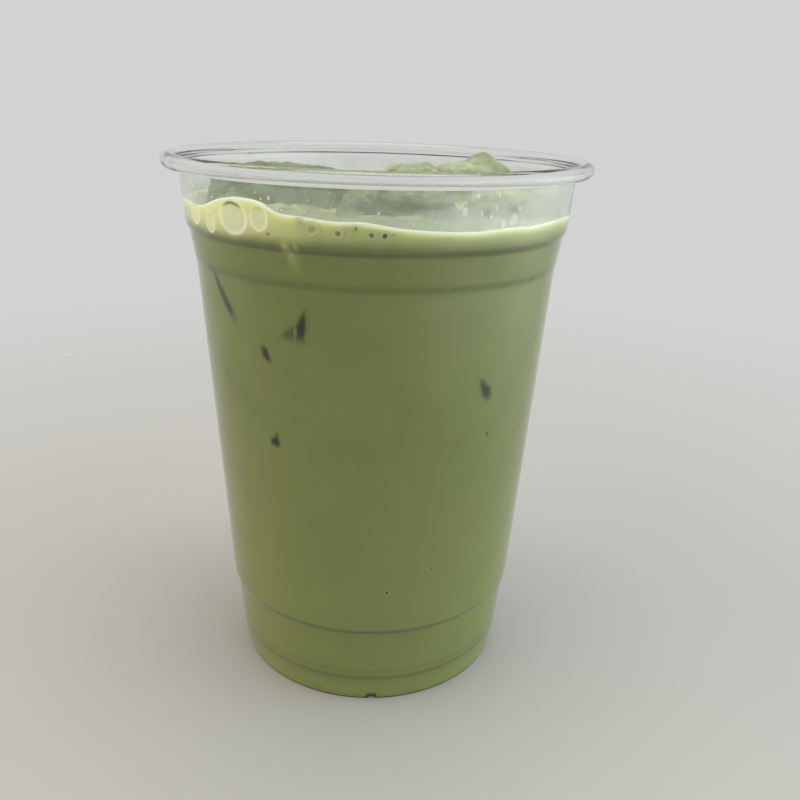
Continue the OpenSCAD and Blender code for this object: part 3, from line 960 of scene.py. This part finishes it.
def filmAlpha(angle, height):
    # dense from the froth's edge up to an uneven line, faint above it, torn by noise drawn out downwards
    knots = np.array(filmShape["reach"])
    line = np.interp(turnDegrees(angle), knots[:, 0], knots[:, 1])
    line = line + 0.35 * latticeNoise(around(filmShape["radius"], angle, 0.0), 2.0, 15)
    runs = layeredNoise(around(filmShape["radius"], angle, height * 0.35), 2.4, 16)
    beads = ramp(layeredNoise(around(filmShape["radius"], angle, height), 0.8, 18), 0.35, 0.7)
    dense = ramp(height, line + 0.9, line - 1.1) * (0.85 + 0.16 * runs + 0.1 * beads)
    hazy = 1 + sum(amount * bell(turnDegrees(angle - middle), wide)
                   for middle, wide, amount in filmShape["haze"])
    faint = filmShape["above"] * hazy * (1 + runs) * ramp(height, filmShape["top"], filmShape["top"] - 1.2)
    return np.clip(np.maximum(filmShape["strength"] * dense, faint), 0, 1)


def filmWet(angle, height):
    # strength * exp(-(x/w)^2 - (y/h)^2), broken up by fine noise
    wet = np.zeros(np.broadcast_shapes(np.shape(angle), np.shape(height)))
    broken = 0.75 + 0.5 * latticeNoise(around(filmShape["radius"], angle, height), 0.45, 27)
    for where in filmShape["wet"]:
        across, up = wallOffset(angle, height, where[:2])
        wet = np.maximum(wet, where[4] * bell(across, where[2]) * bell(up, where[3]) * broken)
    return np.clip(wet, 0, 1)


milkFilm, tree, shader = newMaterial("milkFilm")
tint = placeGroup(tree, cloudy, (-350, 200), {"Colour": filmShape["colour"], "Cloud size": 0.004,
                                              "Cloud strength": 0.05})["Colour"]
tint = mixColour(tree, layerValue(tree, "wet", (-500, 450)), tint, filmShape["wetColour"], (-150, 250))
feed(tree, shader, {"Base Color": tint, "Alpha": layerValue(tree, "cover", (-500, -100)), "Roughness": 0.35})

columns = np.linspace(-180, 180, filmShape["columns"], endpoint=False)[None, :]
low = edgeHeight(columns) - 0.35
climb = np.concatenate([np.linspace(0, 1, filmShape["rows"]), np.linspace(1, 0, filmShape["rows"])])[:, None]
height = low + (filmShape["top"] - low) * climb
facing = (np.arange(2 * filmShape["rows"]) >= filmShape["rows"])[:, None]
radius = insideRadius(height) - filmShape["off"] - filmShape["thick"] * facing
radius = radius + wobble(columns, height)
wallFilm = gridMesh("wallFilm", around(radius, columns, height), milkFilm,
                    {"cover": filmAlpha(columns, height), "wet": filmWet(columns, height)}, loop=True)
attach(wallFilm, "root")

dropSet = {
    "rings": 7,
    "columns": 16,
    # angle, height, radius of the drops that stand out
    "list": [(-68.6, 119.5, 0.75), (-60.9, 118.5, 0.42), (-56.8, 116.9, 0.7), (-53.2, 117.6, 1.05),
             (-54.3, 117.0, 0.5), (-65.3, 122.4, 0.45), (-59.2, 122.5, 0.4), (-63.8, 119.1, 0.35),
             (-59.5, 120.1, 0.3), (-51.7, 119.7, 0.32), (-75.6, 117.6, 0.35), (-115.1, 119.2, 0.4),
             (-107.6, 118.9, 0.3), (-117.4, 120.9, 0.35)],
    # how many fine drops, how high above the edge they reach, least size and what is added to it
    "fine": 150,
    "reach": 5.5,
    "least": 0.1,
    "added": 0.22,
    "seed": 19,
    "colour": hue(232, 238, 222),
}


def wallDropMesh(settings):
    # half round beads on the inner wall: r = wall - bulge sqrt(1 - s^2), drawn down a little
    rng = np.random.default_rng(settings["seed"])
    count = settings["fine"]
    fine = np.stack([rng.uniform(-180, 180, count), rng.random(count) ** 1.6 * settings["reach"],
                     settings["least"] + settings["added"] * rng.random(count) ** 2.5], axis=1)
    fine[:, 1] += edgeHeight(fine[:, 0]) + 0.4
    fine = fine[fine[:, 1] < filmShape["top"] - 0.1]
    every = np.concatenate([np.array(settings["list"]), fine])[:, :, None, None]
    theta = fullTurn(settings["columns"])[None, None, :]
    share = outAndBack(settings["rings"])
    back = (np.arange(len(share)) >= settings["rings"])[None, :, None]
    share = share[None, :, None]
    size = every[:, 2]
    across = share * size * np.cos(theta)
    up = share * size * (1.25 * np.sin(theta) - 0.15)
    height = every[:, 1] + up
    angle = every[:, 0] + np.degrees(across / filmShape["radius"])
    bulge = np.where(back, 0.0, 0.55 * size * arc(share))
    radius = insideRadius(height) + 0.05 - np.where(back, 0.0, 0.1 + bulge)
    return around(radius, angle, height)


milkDrop, tree, shader = newMaterial("milkDrop")
tint = placeGroup(tree, cloudy, (-350, 200), {"Colour": dropSet["colour"], "Cloud size": 0.003,
                                              "Cloud strength": 0.06})["Colour"]
feed(tree, shader, {"Base Color": tint, "Roughness": 0.15})
wallDrops = gridMesh("wallDrops", wallDropMesh(dropSet), milkDrop)
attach(wallDrops, "root")
print("pieces ready")


# light, floor and camera

def newLight(name, place, aim, size, power, colour):
    data = bpy.data.lights.new(name, "AREA")
    data.shape = "DISK"
    data.size = size
    data.energy = power
    data.color = colour
    lamp = bpy.data.objects.new(name, data)
    bpy.context.scene.collection.objects.link(lamp)
    lamp.visible_camera = False
    lamp.visible_transmission = False
    lamp.visible_glossy = False
    # the wall lets light straight through, so the lamps are sampled directly only
    data.cycles.use_multiple_importance_sampling = False
    z = np.array(place, float) - np.array(aim, float)
    z /= np.linalg.norm(z)
    x = np.cross((0, 0, 1), z)
    x /= np.linalg.norm(x)
    y = np.cross(z, x)
    lamp.matrix_world = Matrix([[x[k], y[k], z[k], place[k]] for k in range(3)] + [[0, 0, 0, 1]])
    return lamp


newLight("windowRight", (1.08, 0.32, 0.55), (0, 0, 0.07), 2.0, 3.0, (0.88, 0.96, 1.0))
newLight("windowFront", (0.98, -0.42, 0.55), (0, 0, 0.06), 1.6, 8.0, (0.84, 0.94, 1.0))
newLight("softLeft", (-0.99, -0.30, 0.50), (0, 0, 0.06), 1.6, 8.2, (1.0, 0.89, 0.62))
softTop = newLight("softTop", (0.05, 0.10, 1.15), (0, 0, 0.10), 1.0, 4.5, (1.0, 1.0, 1.0))
softTop.visible_glossy = True
softTop.data.cycles.use_multiple_importance_sampling = True

world = bpy.data.worlds.new("studio")
bpy.context.scene.world = world
world.use_nodes = True
sky = world.node_tree
look = put(sky, "TexCoord", (-900, 0)).outputs["Generated"]
direction = put(sky, "SeparateXYZ", (-700, 0), {"Vector": look})
backness = remap(sky, direction.outputs["Y"], (-1.05, 0.35), (0.37, 0.64), (-450, 0),
                 interpolation_type="SMOOTHSTEP")
# a brighter patch low on the right, which the clear wall mirrors
toward = put(sky, "VectorMath", (-700, -250), {0: look, 1: (0.89, -0.26, -0.37)},
             operation="DOT_PRODUCT").outputs["Value"]
glow = remap(sky, toward, (0.56, 0.98), (0.0, 0.85), (-450, -250), interpolation_type="SMOOTHSTEP")
strength = calc(sky, "ADD", (-200, -100), backness, glow)
feed(sky, sky.nodes["Background"], {"Color": (1.0, 1.01, 1.0, 1), "Strength": strength})

paleFloor, tree, shader = newMaterial("paleFloor")
spot = put(tree, "TexCoord", (-900, 0)).outputs["Object"]
far = put(tree, "VectorMath", (-700, 0), {0: spot}, operation="LENGTH").outputs["Value"]
fade = remap(tree, far, (0.10, 0.42), (1.0, 0.0), (-500, 0), interpolation_type="SMOOTHSTEP")
feed(tree, shader, {"Base Color": hue(184, 182, 178), "Roughness": 0.55, "Alpha": fade})
bpy.ops.mesh.primitive_circle_add(vertices=96, radius=0.45, fill_type="NGON", location=(0, 0, 0))
floor = bpy.context.object
floor.name = "floor"
floor.data.transform(Matrix.Translation((0, 0, -0.0001)))
floor.data.materials.append(paleFloor)

cameraSetup = {
    "place": (0.0, -0.195668, 0.139570),
    "pitch": 20.5745,
    "yaw": 1.9481,
    "roll": 1.7895,
    "lens": 36.472,
}
pitch, yaw, roll = (math.radians(cameraSetup[key]) for key in ("pitch", "yaw", "roll"))
forward = np.array([math.sin(yaw) * math.cos(pitch), math.cos(yaw) * math.cos(pitch), -math.sin(pitch)])
right = np.array([math.cos(yaw), -math.sin(yaw), 0.0])
up = np.cross(right, forward)
rolledRight = right * math.cos(roll) + up * math.sin(roll)
rolledUp = up * math.cos(roll) - right * math.sin(roll)
lensData = bpy.data.cameras.new("camera")
lensData.lens = cameraSetup["lens"]
lensData.sensor_width = 36.0
lensData.clip_start = 0.005
camera = bpy.data.objects.new("camera", lensData)
bpy.context.scene.collection.objects.link(camera)
columns = (rolledRight, rolledUp, -forward, cameraSetup["place"])
camera.matrix_world = Matrix([[column[k] for column in columns] for k in range(3)] + [[0, 0, 0, 1]])
bpy.context.scene.camera = camera
bpy.context.scene.view_settings.view_transform = "Standard"

print("scene ready")
